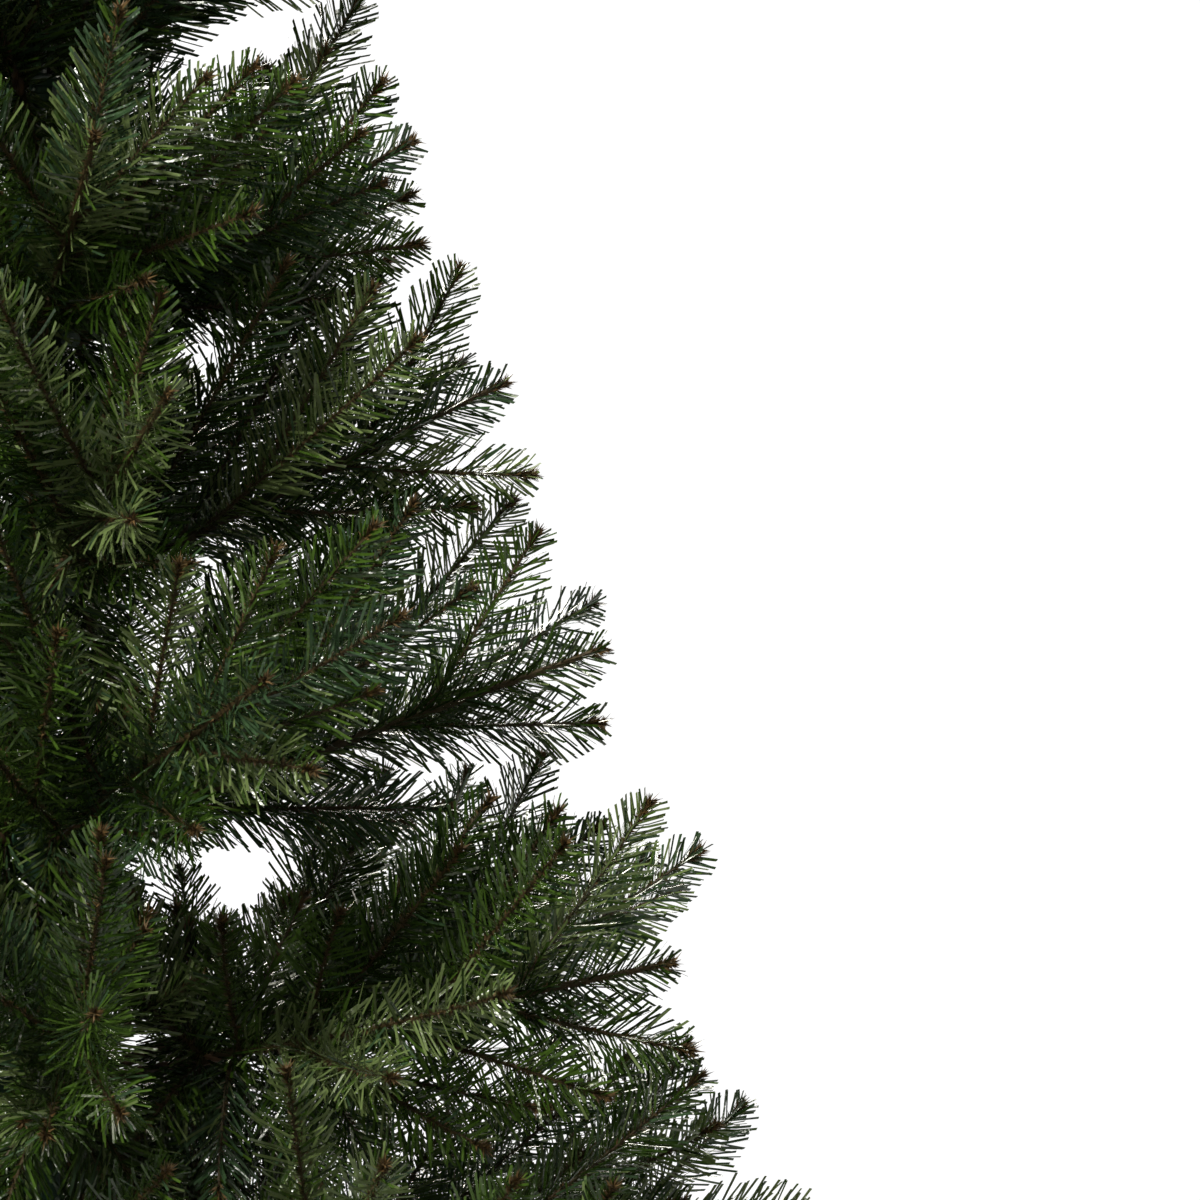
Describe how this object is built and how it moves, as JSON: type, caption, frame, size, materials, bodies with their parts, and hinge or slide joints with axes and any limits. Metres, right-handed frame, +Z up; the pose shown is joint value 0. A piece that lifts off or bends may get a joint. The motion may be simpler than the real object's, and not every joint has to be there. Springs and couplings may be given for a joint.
{
  "type": "artificial christmas tree",
  "caption": "Artificial conifer for indoor display: wire boughs covered in green plastic needle sprays on a steel pole, built together with its bowed-leg steel stand.",
  "frame": {"origin": "on the floor, on the pole's axis", "axes": "+Z up along the pole; the legs point between the X and Y axes"},
  "size_m": [1.0404, 1.0402, 1.8],
  "materials": {
    "needles": "satin",
    "bough_wire": "matte brown twisted wire",
    "stand_steel": "satin dark green powder coat"
  },
  "bodies": {
    "root": {"bough_1_1": "bough_wire", "bough_1_2": "bough_wire", "bough_1_3": "bough_wire", "bough_1_4": "bough_wire", "bough_1_5": "bough_wire", "bough_1_6": "bough_wire", "bough_2_1": "bough_wire", "bough_2_2": "bough_wire", "bough_2_3": "bough_wire", "bough_2_4": "bough_wire", "bough_2_5": "bough_wire", "bough_2_6": "bough_wire", "foliage_1_1": "needles", "foliage_1_2": "needles", "foliage_1_3": "needles", "foliage_1_4": "needles", "foliage_1_5": "needles", "foliage_1_6": "needles", "foliage_2_1": "needles", "foliage_2_2": "needles", "foliage_2_3": "needles", "foliage_2_4": "needles", "foliage_2_5": "needles", "foliage_2_6": "needles", "foliage_3_1": "needles", "foliage_3_2": "needles", "foliage_3_3": "needles", "foliage_3_4": "needles", "foliage_3_5": "needles", "foliage_3_6": "needles", "foliage_4_1": "needles", "foliage_4_2": "needles", "foliage_4_3": "needles", "foliage_4_4": "needles", "foliage_4_5": "needles", "foliage_5_1": "needles", "foliage_5_2": "needles", "foliage_5_3": "needles", "foliage_5_4": "needles", "foliage_5_5": "needles", "foliage_6_1": "needles", "foliage_6_2": "needles", "foliage_6_3": "needles", "foliage_6_4": "needles", "foliage_7_1": "needles", "foliage_7_2": "needles", "foliage_7_3": "needles", "foliage_7_4": "needles", "foliage_8_1": "needles", "foliage_8_2": "needles", "foliage_8_3": "needles", "foliage_leader": "needles", "pole": "stand_steel", "stand_hub": "stand_steel", "stand_leg_1": "stand_steel", "stand_leg_2": "stand_steel", "stand_leg_3": "stand_steel", "stand_leg_4": "stand_steel"}
  },
  "joints": []
}
